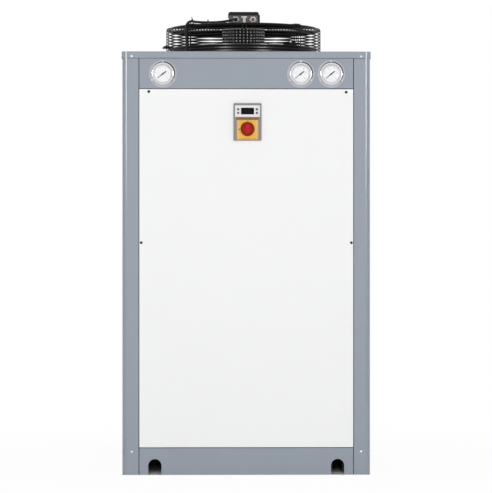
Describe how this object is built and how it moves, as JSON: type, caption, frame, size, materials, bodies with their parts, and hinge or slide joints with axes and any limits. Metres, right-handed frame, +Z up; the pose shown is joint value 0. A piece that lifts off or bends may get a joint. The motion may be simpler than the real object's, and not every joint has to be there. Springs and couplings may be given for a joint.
{
  "type": "water chiller",
  "caption": "Air-cooled water chiller: sheet metal cabinet on four corner posts, gauges and a control unit in front, and a guarded fan on the roof.",
  "frame": {"origin": "middle of the footprint, on the floor", "axes": "+Z up, -Y the front with the gauges and the control unit, +X to the right seen from the front"},
  "size_m": [0.7566, 1.261, 1.456],
  "materials": {
    "frame_paint": "blue-grey powder coat, satin",
    "panel_paint": "white powder coat, satin",
    "galvanised": "galvanised sheet",
    "coil_fins": "thin bright fins",
    "black_metal": "black powder coat",
    "motor_alloy": "cast, unpainted",
    "box_grey": "moulded",
    "box_black": "moulded",
    "gland_grey": "moulded",
    "cable_rubber": "smooth sheath",
    "gauge_steel": "polished stainless steel",
    "dial_white": "white enamel with black marks",
    "gauge_glass": "clear flat glass",
    "needle_black": "satin black",
    "control_grey": "moulded grey",
    "controller_white": "moulded pale grey",
    "display_black": "smoked window",
    "key_dark": "moulded",
    "switch_yellow": "moulded yellow",
    "switch_red": "moulded red",
    "port_brass": "machined"
  },
  "bodies": {
    "cabinet": {"corner_post_front_left": "frame_paint", "corner_post_front_right": "frame_paint", "corner_post_rear_left": "frame_paint", "corner_post_rear_right": "frame_paint", "base_rail_front": "frame_paint", "base_rail_rear": "frame_paint", "base_rail_left": "frame_paint", "base_rail_right": "frame_paint", "gauge_panel": "frame_paint", "rear_header": "frame_paint", "left_header": "frame_paint", "right_header": "frame_paint", "top_panel": "frame_paint", "front_panel": "panel_paint", "left_front_panel": "panel_paint", "left_rear_panel": "panel_paint", "right_panel": "panel_paint", "rear_panel": "panel_paint", "floor_tray": "galvanised", "lifting_channels": "galvanised", "left_mullion": "galvanised", "plenum_floor": "galvanised", "condenser_frame": "galvanised", "condenser_coil": "coil_fins", "condenser_grille": "black_metal", "fan_ring": "black_metal", "guard_rings": "black_metal", "guard_ribs": "black_metal", "fan_motor": "motor_alloy", "terminal_box": "box_grey", "terminal_box_cover": "box_black", "cable_glands": "gland_grey", "cable_clip": "gland_grey", "power_gland": "gland_grey", "fan_cable": "cable_rubber", "cable_grommet": "cable_rubber", "gauge_cases": "gauge_steel", "gauge_dials": "dial_white", "gauge_glasses": "gauge_glass", "control_frame": "control_grey", "controller": "controller_white", "display": "display_black", "switch_plate": "switch_yellow", "water_ports": "port_brass"},
    "fan": {"fan_rotor": "black_metal"},
    "main_switch": {"switch_knob": "switch_red"},
    "left_needle": {"gauge_needle_left": "needle_black"},
    "middle_needle": {"gauge_needle_middle": "needle_black"},
    "right_needle": {"gauge_needle_right": "needle_black"},
    "upper_left_key": {"key_upper_left": "key_dark"},
    "lower_left_key": {"key_lower_left": "key_dark"},
    "upper_right_key": {"key_upper_right": "key_dark"},
    "lower_right_key": {"key_lower_right": "key_dark"}
  },
  "joints": [
    {"name": "fan_spin", "type": "hinge", "parent": "cabinet", "child": "fan", "pos_m": [0, 0, 1.296], "axis": [0, 0, 1], "continuous": true},
    {"name": "main_switch_turn", "type": "hinge", "parent": "cabinet", "child": "main_switch", "pos_m": [0.0034, -0.606, 1.0477], "axis": [0, 1, 0], "range_deg": [-90, 0]},
    {"name": "left_gauge_turn", "type": "hinge", "parent": "cabinet", "child": "left_needle", "pos_m": [-0.253, -0.6, 1.215], "axis": [0, 1, 0], "range_deg": [0, 270], "stiffness_Nm_per_rad": 0.0005, "springref_deg": -17.19},
    {"name": "middle_gauge_turn", "type": "hinge", "parent": "cabinet", "child": "middle_needle", "pos_m": [0.165, -0.6, 1.215], "axis": [0, 1, 0], "range_deg": [0, 270], "stiffness_Nm_per_rad": 0.0005, "springref_deg": -17.19},
    {"name": "right_gauge_turn", "type": "hinge", "parent": "cabinet", "child": "right_needle", "pos_m": [0.2575, -0.6, 1.215], "axis": [0, 1, 0], "range_deg": [0, 270], "stiffness_Nm_per_rad": 0.0005, "springref_deg": -17.19},
    {"name": "upper_left_key_press", "type": "slide", "parent": "cabinet", "child": "upper_left_key", "axis": [0, 1, 0], "range_m": [0, 0.001], "stiffness_N_per_m": 300},
    {"name": "lower_left_key_press", "type": "slide", "parent": "cabinet", "child": "lower_left_key", "axis": [0, 1, 0], "range_m": [0, 0.001], "stiffness_N_per_m": 300},
    {"name": "upper_right_key_press", "type": "slide", "parent": "cabinet", "child": "upper_right_key", "axis": [0, 1, 0], "range_m": [0, 0.001], "stiffness_N_per_m": 300},
    {"name": "lower_right_key_press", "type": "slide", "parent": "cabinet", "child": "lower_right_key", "axis": [0, 1, 0], "range_m": [0, 0.001], "stiffness_N_per_m": 300}
  ]
}
